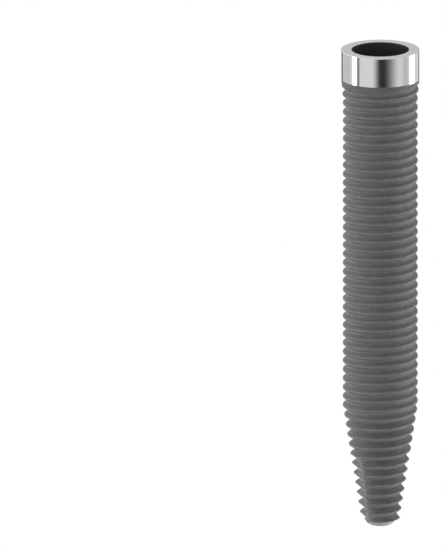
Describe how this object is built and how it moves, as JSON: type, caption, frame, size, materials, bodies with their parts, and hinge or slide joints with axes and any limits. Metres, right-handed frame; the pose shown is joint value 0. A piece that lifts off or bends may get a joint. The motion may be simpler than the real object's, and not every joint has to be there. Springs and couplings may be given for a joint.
{
  "type": "dental implant",
  "caption": "Long screw-shaped dental implant: plain polished collar with an internal socket, right-hand bone thread on a parallel then tapered shank, cutting flutes, domed tip.",
  "frame": {"origin": "centre of the platform's flat face, which the implant stands on", "axes": "+Z along the implant's axis from the platform to the tip; +X through a thread crest at the start of the taper"},
  "size_m": [0.0043, 0.0042, 0.0268],
  "materials": {
    "blasted_titanium": "titanium, grit-blasted and etched, matt mid grey",
    "machined_titanium": "titanium, fine turned and polished, bright"
  },
  "bodies": {
    "root": {"implant_body": "blasted_titanium"}
  },
  "joints": []
}
